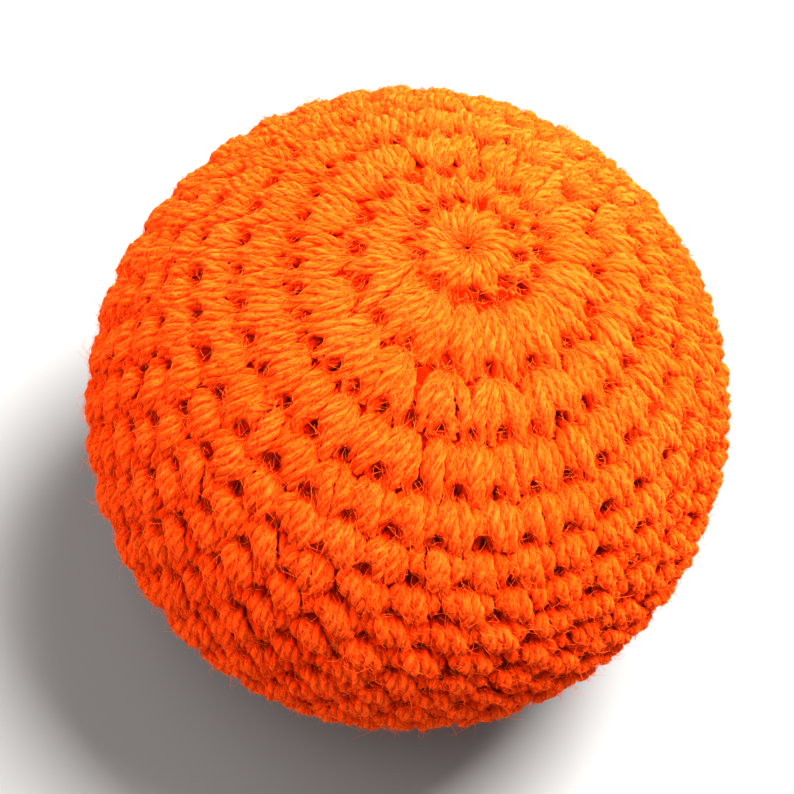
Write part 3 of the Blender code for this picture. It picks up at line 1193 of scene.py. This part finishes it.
    def build(self, finish: Material) -> list[Thing]:
        """Works the stitches, in bands from the crown to the base.

        Args:
            finish: the wool.

        Returns:
            One piece to a band.
        """
        draw = np.random.default_rng(self.seed)
        stitches = self.layout()
        for stitch in stitches:
            name = next(name for name, end in self.bands if stitch.middle < end)
            strands = self.strands.setdefault(name, Strands())
            number = self.number(stitch)
            mood = np.append(number, np.clip(draw.normal(0, 1, 4), -1.5, 1.5))
            for place in (2 * np.arange(number) + 1) / number - 1:
                self.add_strand(strands, stitch, place, mood, draw)
            if stitch.first < self.spiral.last_round:
                self.add_loop(strands, stitch, draw)
        self.place_holes(stitches, draw)
        pieces = []
        for name, strands in self.strands.items():
            piece = self.yarn.spin(strands, f"{name}_stitches", finish)
            opened = self.opened(coordinates(piece.data))
            # nearness to a hole, which the wool turns into painted shade
            put_attribute(piece.data, "near", self.nearness(opened))
            put_coordinates(piece.data, self.spiral.settled(opened))
            faced_out(piece.data)
            carried(piece, "crochet_cover")
            pieces.append(piece)
        return pieces


@dataclass
class CoverBack:
    """The inner side of the cover: the backs of the stitches, seen only down the holes."""

    cover: CrochetCover
    crown_depth: float = 1.25 * MM
    outer_depth: float = 1.62 * MM
    hole_depth: float = 2.45 * MM
    inner_depth: float = 2.92 * MM
    hole_radius: float = 0.62 * MM
    ridge: float = 0.14 * MM
    crown_gap: float = 6.2  # degrees left open round the drawn ring
    base_gap: float = 0.62  # rounds left open at the base
    around: int = 240
    down: int = 130

    def faces(self) -> list[tuple[int, ...]]:
        """Joins the points of both layers, and both layers at their rims.

        Returns:
            The faces' points.
        """

        def at(layer: int, row: int, place: int) -> int:
            """Number of a point."""
            return (layer * self.down + row) * self.around + place % self.around

        found = []
        for place in range(self.around):
            after = place + 1
            for row in range(self.down - 1):
                quad = ((row, place), (row + 1, place), (row + 1, after), (row, after))
                found.append(tuple(at(0, *quad[i]) for i in (0, 1, 2, 3)))
                found.append(tuple(at(1, *quad[i]) for i in (0, 3, 2, 1)))
            for row, flip in ((0, 1), (self.down - 1, -1)):
                rim = (at(0, row, place), at(0, row, after), at(1, row, after), at(1, row, place))
                found.append(rim[::flip])
        return found

    def build(self, finish: Material) -> Thing:
        """Makes the two layers.

        Args:
            finish: the wool.

        Returns:
            The piece.
        """
        spiral = self.cover.spiral
        columns = np.arange(self.around) * spiral.columns / self.around
        first = self.crown_gap / spiral.heights[0]
        rows = np.linspace(first, spiral.last_round + 1 - self.base_gap, self.down)
        column, rounds = np.meshgrid(columns, rows)
        out = spiral.outward(column, rounds)
        slope = TURN * (rounds - column / spiral.columns)
        bump = np.cos(slope) * 0.6 + 0.4 * np.cos(math.pi * column + math.pi * np.floor(rounds))
        depth = self.crown_depth + (self.outer_depth - self.crown_depth) * eased((rounds - 0.8) / 3)
        depth = depth - self.ridge * bump
        gap = self.cover.nearest_hole(out.reshape(-1, 3))[1].reshape(depth.shape)
        hole = np.exp(-((gap / self.hole_radius) ** 2)) * (0.35 + 0.65 * eased(rounds / 6))
        depth = depth + (self.hole_depth - depth) * hole
        outer = out * (spiral.ball_radius - depth)[..., None]
        inner = out * (spiral.ball_radius - self.inner_depth)
        points = np.concatenate((outer.reshape(-1, 3), inner.reshape(-1, 3)))
        piece = meshed("cover_back", spiral.settled(points), faces=self.faces())
        mesh = piece.data
        mesh.materials.append(finish)
        count = depth.size
        length = (column * spiral.width(rounds)).ravel()
        lie = np.stack((length, np.full(count, 0.5), np.full(count, 0.5)), -1)
        put_attribute(mesh, "lie", np.tile(lie, (2, 1)))
        put_attribute(mesh, "ring", np.tile(circled(slope).reshape(-1, 3), (2, 1)))
        put_attribute(mesh, "rim", np.ones(2 * count))
        # nearness to a hole, which the wool turns into painted shade
        put_attribute(mesh, "near", np.tile(hole.ravel(), 2))
        mesh.shade_smooth()
        faced_out(mesh)
        return carried(piece, "crochet_cover")


@dataclass
class LooseFibres:
    """Short stray fibres that stand off the yarn, mostly along it."""

    cover: CrochetCover
    to_a_millimetre: float = 6.5  # fibres on a millimetre of yarn
    fewer: tuple[tuple[str, float], ...] = (("under", 0.7), ("base", 0.4), ("shoulder", 0.9))
    shortest: float = 0.4 * MM
    wild_share: float = 0.14  # of the fibres; the next five are for a usual and a wild fibre
    longest: Span = (1.3 * MM, 1.6 * MM)
    lean: Span = (0.32, 0.9)  # away from the yarn's own way
    lift: Span = (0.16, 0.9)  # this and the next two as shares of the fibre's length
    bend: Span = (0.18, 0.5)
    wave: Span = (0.05, 0.14)
    side_turn: float = 1.35  # radians from straight outward that it may stand
    thickness: float = 0.023 * MM
    tip: float = 0.4  # of its thickness
    deepest: float = 1.0 * MM  # where a fibre may start
    to_a_hole: int = 2  # fibres that cross each hole
    points: int = 3
    seed: int = 23

    def tree(self) -> bpy.types.GeometryNodeTree:
        """Builds Geometry Nodes that turn centre lines into fine fibres.

        Returns:
            The tree.
        """
        graph = Graph.for_geometry("loose fibres", [("Thickness", "Float")])
        given = graph.node("NodeGroupInput").outputs
        lines = graph.node("GeometryNodeMeshToCurve", {0: given["Geometry"]})
        factor = graph.node("GeometryNodeSplineParameter").outputs["Factor"]
        taper = graph.stretched(factor, 0, 1, 1.0, self.tip)
        scale = graph.maths("MULTIPLY", taper, given["Thickness"])
        graph.give(graph.tubes(lines, graph.circle(3), scale), given["Finish"])
        return graph.tree

    def lines(self, strands: Strands, share: float, draw: Random) -> Array:
        """Draws the centre lines of the fibres on some yarn.

        Args:
            strands: the yarn's centre lines.
            share: of the usual number of fibres.
            draw: random numbers.

        Returns:
            For each fibre, its points about the ball's centre.
        """
        rows = []
        for line in strands.lines:
            points = line[0]
            length = np.linalg.norm(np.diff(points, axis=0), axis=1).sum()
            count = draw.poisson(share * self.to_a_millimetre * length / MM)
            place = draw.uniform(0.05, 0.95, count) * (len(points) - 1)
            index = place.astype(int)
            part, after = (place - index)[:, None], index + 1
            between = [row[index] * (1 - part) + row[after] * part for row in line]
            rows.append((points[after] - points[index], *between))
        along, start, out, side, shape = map(np.concatenate, zip(*rows))
        along, count = unit(along), len(start)

        # each fibre is rooted in the yarn's surface
        turn = draw.uniform(-self.side_turn, self.side_turn, count)
        curl = draw.uniform(0, TURN, count)
        lift, shift = np.cos(turn), np.sin(turn)
        foot = out * (lift * shape[:, 2])[:, None] + side * (shift * shape[:, 1])[:, None]
        root = start + self.cover.yarn.reach * 0.93 * foot
        normal = out * lift[:, None] + side * shift[:, None]
        across = np.cross(normal, along)
        wild = draw.uniform(0, 1, count) < self.wild_share

        def either(values: Span) -> Array:
            """The first value for the usual fibres and the second for the wild ones."""
            return np.where(wild, values[1], values[0])

        lean = draw.normal(0, either(self.lean), count) + 0.4
        heading = draw.choice((-1.0, 1.0), count)[:, None] * (along + across * lean[:, None])
        heading = unit(heading)
        long = draw.uniform(0, 1, count) ** 1.5
        length = (self.shortest + (either(self.longest) - self.shortest) * long)[:, None]
        lifted = either(self.lift) * draw.uniform(0, 1, count) ** 1.5
        rise = (0.03 + lifted)[:, None] * length
        bend = draw.normal(0, either(self.bend), count)[:, None] * length
        wave = either(self.wave)[:, None] * length
        found = []
        for t in np.linspace(0, 1, self.points):
            swing = wave * (np.sin(curl + 5.0 * t) - np.sin(curl))[:, None]
            point = root + heading * length * t + normal * rise * math.sin(2.3 * t)
            found.append(point + across * (bend * t * t + swing))
        return np.stack(found, 1)

    def bridges(self, draw: Random) -> Array:
        """Draws the centre lines of the fibres that cross the holes, a little way down.

        Args:
            draw: random numbers.

        Returns:
            For each fibre, its points about the ball's centre.
        """
        out = np.repeat(self.cover.hole_places[1:], self.to_a_hole, 0)
        radius = np.repeat(self.cover.hole_radii[1:], self.to_a_hole)[:, None]
        count = len(out)
        across = unit(np.cross(out, draw.normal(0, 1, (count, 3))))
        beside = np.cross(out, across)
        offset = draw.uniform(-0.9, 0.9, (count, 1)) * radius
        half = draw.uniform(1.0, 1.7, (count, 1)) * radius
        height = self.cover.spiral.ball_radius - draw.uniform(0.6, 1.5, (count, 1)) * MM
        bend, sag = draw.normal(0, 0.35, (2, count, 1)) * radius
        found = [
            out * (height + sag * t * t) + across * half * t + beside * (offset + bend * t * t)
            for t in np.linspace(-1, 1, self.points)
        ]
        return np.stack(found, 1)

    def build(self, finish: Material) -> list[Thing]:
        """Makes the fibres.

        Args:
            finish: the wool of the fibres.

        Returns:
            One piece to a band, and one for the holes.
        """
        draw = np.random.default_rng(self.seed)
        cover, tree = self.cover, self.tree()
        found = {}
        for band, strands in cover.strands.items():
            lines = self.lines(strands, dict(self.fewer).get(band, 1.0), draw)
            depth = cover.spiral.ball_radius - np.linalg.norm(lines[:, 0], axis=1)
            found[f"{band}_fibres"] = cover.opened(lines[depth < self.deepest].reshape(-1, 3))
        found["hole_fibres"] = self.bridges(draw).reshape(-1, 3)
        pieces = []
        for name, lines in found.items():
            starts = np.arange(0, len(lines), self.points)
            first = starts[:, None] + np.arange(self.points - 1)
            edges = np.stack((first, first + 1), -1).reshape(-1, 2)
            start = meshed(name, cover.spiral.settled(lines), edges.tolist())
            piece = grown(start, tree, {"Thickness": self.thickness, "Finish": finish})
            faced_out(piece.data)
            pieces.append(carried(piece, "crochet_cover"))
        return pieces


@dataclass
class DrawnRing:
    """A loop of yarn drawn tight."""

    spiral: Spiral
    name: str
    node: str  # the solid that it stands for
    height: float
    radius: float = 1.9 * MM
    points: int = 28
    turns: int = 2
    yarn: YarnNodes = YarnNodes(ply_radius=0.27 * MM, spread=0.37 * MM, seed=8)

    def build(self, finish: Material) -> Thing:
        """Makes the loop.

        Args:
            finish: the wool.

        Returns:
            The piece.
        """
        turn = TURN * np.arange(self.points) / self.points
        line = circled(turn) * self.radius
        line[:, 2] = self.height + self.spiral.centre_height
        strands = Strands()
        ones = np.ones(self.points)
        up = np.tile((0.0, 0.0, 1.0), (self.points, 1))
        strands.add(line, up, self.turns * turn, ones, ones, 0.5, closed=True)
        piece = self.yarn.spin(strands, self.name, finish)
        faced_out(piece.data)
        return carried(piece, self.node)


@dataclass
class Liner:
    """The tied liner bag, with pleats gathered at its neck, and its thread."""

    spiral: Spiral
    radius: float = 27.7 * MM
    floor: float = -26.1 * MM
    wall: float = 0.3 * MM
    neck: float = 1.7 * MM
    neck_length: float = 6.3 * MM
    neck_inset: float = 0.1 * MM
    seam_lift: float = 0.12 * MM
    frill: float = 2.9 * MM
    frill_height: float = 1.2 * MM
    frill_inset: float = 0.25 * MM
    frill_lift: float = 0.2 * MM
    tuck: float = 3.8 * MM
    pleats: int = 14
    crown_pleat: float = 0.02  # millimetres, half the depth of the pleats
    neck_pleat: float = 0.12
    pleat_drift: float = 0.7  # radians by which the pleats are uneven
    narrowest: float = 0.3 * MM
    dome_steps: int = 40
    floor_steps: int = 5
    tuck_steps: int = 12
    neck_steps: int = 8
    frill_steps: int = 4
    around: int = 168
    tie_radius: float = 2.3 * MM
    tie_spacing: float = 1.1 * MM
    tie_height: float = 0.9 * MM  # of the first turn above the frill
    tie_turns: int = 3
    tie_twist: float = 1.4  # turns of the plies to a turn of the thread
    tie_points: int = 24
    thread: YarnNodes = YarnNodes(ply_radius=0.145 * MM, spread=0.15 * MM, sides=6, seed=9)

    def profile(self) -> list[tuple[float, float, float]]:
        """Draws the bag's outline, from the crown down to the frill.

        Returns:
            Distance from the axis, height and depth of the pleats at each point.
        """
        flat = math.acos(self.floor / self.radius)
        found = []
        for i in range(self.dome_steps + 1):
            angle = flat * i / self.dome_steps
            pleat = self.crown_pleat + 0.10 * max(0.0, i / self.dome_steps - 0.6) / 0.4
            reach = self.radius - pleat * MM
            found.append((reach * math.sin(angle), reach * math.cos(angle), pleat))
        edge = found[-1][0]
        for i in range(1, self.floor_steps):
            across = edge + (self.neck + self.tuck - edge) * i / self.floor_steps
            found.append((across, self.floor + self.seam_lift, self.neck_pleat))
        for i in range(self.tuck_steps + 1):
            angle = math.pi / 2 * i / self.tuck_steps
            across = self.neck + self.tuck * math.cos(angle)
            height = self.floor + self.seam_lift * math.cos(angle) + self.neck_length * math.sin(angle)
            found.append((across, height, self.neck_pleat + 0.05 * i / self.tuck_steps))
        top = self.floor + self.neck_length
        bottom = self.floor + self.frill_height
        for i in range(1, self.neck_steps + 1):
            height = top + (bottom - top) * i / self.neck_steps
            found.append((self.neck - self.neck_inset, height, self.neck_pleat))
        for i in range(1, self.frill_steps + 1):
            across = self.neck + (self.frill - self.neck - self.frill_inset) * i / self.frill_steps
            height = bottom + (self.floor + self.frill_lift - bottom) * i / self.frill_steps
            found.append((across, height, self.neck_pleat + 0.03 * i))
        return found

    def build_bag(self, finish: Material) -> Thing:
        """Makes the bag.

        Args:
            finish: the cloth.

        Returns:
            The piece.
        """
        rows = self.profile()
        shape = bmesh.new()
        pole = shape.verts.new((0, 0, rows[0][1]))
        rings = []
        for across, height, pleat in rows[1:]:
            ring = []
            for i in range(self.around):
                turn = TURN * i / self.around
                fold = math.cos(self.pleats * turn + self.pleat_drift * math.sin(3 * turn))
                reach = max(across + pleat * MM * fold, self.narrowest)
                ring.append(shape.verts.new((reach * math.cos(turn), reach * math.sin(turn), height)))
            rings.append(ring)
        for i in range(self.around):
            after = (i + 1) % self.around
            shape.faces.new((pole, rings[0][i], rings[0][after]))
            for upper, lower in zip(rings, rings[1:]):
                shape.faces.new((upper[i], lower[i], lower[after], upper[after]))
        mesh = bpy.data.meshes.new("liner_cloth")
        shape.to_mesh(mesh)
        shape.free()
        mesh.shade_smooth()
        mesh.transform(Matrix.Translation((0, 0, self.spiral.centre_height)))
        mesh.materials.append(finish)
        piece = linked("liner_cloth", mesh)
        wall = piece.modifiers.new("cloth", "SOLIDIFY")
        wall.thickness = self.wall
        wall.offset = -1
        plain(piece)
        carried(piece, "liner_bag")
        return piece

    def build_tie(self, finish: Material) -> Thing:
        """Winds the thread round the neck.

        Args:
            finish: the thread.

        Returns:
            The piece.
        """
        count = self.tie_turns * self.tie_points + 1
        turn = TURN * np.arange(count) / self.tie_points
        lowest = self.spiral.centre_height + self.floor + self.frill_height + self.tie_height
        out = circled(turn)
        line = out * self.tie_radius
        line[:, 2] = lowest + self.tie_spacing * turn / TURN
        strands = Strands()
        ones = np.ones(count)
        strands.add(line, out, self.tie_twist * turn, ones, ones, 0.5)
        piece = self.thread.spin(strands, "tie_thread", finish)
        faced_out(piece.data)
        return carried(piece, "liner_tie")


@dataclass(frozen=True)
class Lamp:
    """A square soft light that faces the ball."""

    name: str
    place: tuple[float, float, float]
    size: float  # of its side
    power: float  # watts

    def hang(self, aim: Vector) -> None:
        """Hangs it.

        Args:
            aim: what it faces.
        """
        data = bpy.data.lights.new(self.name, "AREA")
        data.size = self.size
        data.energy = self.power
        lamp = linked(self.name, data)
        lamp.location = self.place
        lamp.rotation_euler = (aim - Vector(self.place)).to_track_quat("-Z", "Y").to_euler()


@dataclass
class Studio:
    """Camera, floor and light."""

    spiral: Spiral
    distance: float = 0.248
    elevation: float = 60.2  # degrees
    lean: float = 19.8  # degrees
    lens: float = 117.07  # millimetres
    ball_right: float = 10.7  # pixels from the picture's middle to the ball's
    ball_down: float = 12.0
    pixels_per_unit: float = 2582.0
    floor_size: float = 3.0
    lamps: tuple[Lamp, ...] = (
        Lamp("key", place=(0.125, 0.20, 0.655), size=0.30, power=28.0),
        Lamp("fill", place=(-0.35, -0.25, 0.65), size=0.70, power=8.5),
    )
    sky: tuple[float, ...] = (1.0, 0.99, 0.97, 1)
    sky_strength: float = 0.44
    gamma: float = 0.88

    def set_camera(self, centre: Vector) -> None:
        """Sets the camera, turned so that the crown leans to the right as in the photograph.

        Args:
            centre: of the ball.
        """
        rise = math.radians(self.elevation)
        back = Vector((0, -math.cos(rise), math.sin(rise)))
        right = Vector((1, 0, 0))
        up = back.cross(right)
        lean = math.radians(self.lean)
        image_up = up * math.cos(lean) - right * math.sin(lean)
        image_right = image_up.cross(back)
        scale = self.distance / self.pixels_per_unit
        aim = centre - image_right * self.ball_right * scale + image_up * self.ball_down * scale
        data = bpy.data.cameras.new("camera")
        data.lens = self.lens
        data.clip_start = 0.01
        camera = linked("camera", data)
        turned = Matrix((image_right, image_up, back)).transposed().to_4x4()
        turned.translation = aim + back * self.distance
        camera.matrix_world = turned
        bpy.context.scene.camera = camera

    def add_floor(self) -> None:
        """Lays the floor."""
        shape = bmesh.new()
        bmesh.ops.create_grid(shape, x_segments=8, y_segments=8, size=self.floor_size / 2)
        mesh = bpy.data.meshes.new("floor")
        shape.to_mesh(mesh)
        shape.free()
        mesh.materials.append(FloorFinish().build())
        linked("floor", mesh)

    def build(self) -> None:
        """Sets up everything round the ball."""
        centre = Vector((0, 0, self.spiral.centre_height))
        self.set_camera(centre)
        self.add_floor()
        for lamp in self.lamps:
            lamp.hang(centre)
        scene = bpy.context.scene
        world = bpy.data.worlds.new("room")
        world.use_nodes = True
        background = world.node_tree.nodes["Background"]
        background.inputs["Color"].default_value = self.sky
        background.inputs["Strength"].default_value = self.sky_strength
        scene.world = world
        scene.view_settings.view_transform = "Standard"
        scene.view_settings.gamma = self.gamma


def dress_solids(nodes: dict[str, Thing]) -> int:
    """Gives the filling and the pellets their plastic.

    Args:
        nodes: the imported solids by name.

    Returns:
        How many were dressed.
    """
    plastic = PelletFinish().build()
    dressed = [node for name, node in nodes.items() if name.startswith("pellet")]
    for node in dressed:
        for slot in node.material_slots:
            slot.material = plastic
    return len(dressed)


def main() -> None:
    """Builds every piece and the studio, and reports them."""
    logging.basicConfig(level=logging.INFO, format="%(message)s")
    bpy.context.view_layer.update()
    spiral = Spiral()
    wool = WoolFinish(spiral=spiral).build()
    cover = CrochetCover(spiral)
    pieces = cover.build(wool)
    pieces.append(CoverBack(cover).build(wool))
    pieces += LooseFibres(cover).build(FibreFinish().build())
    starting = DrawnRing(spiral, "starting_loop", "starting_ring", height=28.95 * MM)
    closing = DrawnRing(spiral, "closing_loop", "closing_ring", height=-27.35 * MM)
    pieces += [starting.build(wool), closing.build(wool)]
    liner = Liner(spiral)
    pieces += [liner.build_bag(LINER_CLOTH.build()), liner.build_tie(TIE_THREAD.build())]
    for piece in pieces:
        count = sum(len(face.vertices) - 2 for face in piece.data.polygons)
        log.info("%s: %d triangles", piece.name, count)
    log.info("%d solids dressed as plastic", dress_solids(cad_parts))
    Studio(spiral).build()


if __name__ == "__main__":
    main()
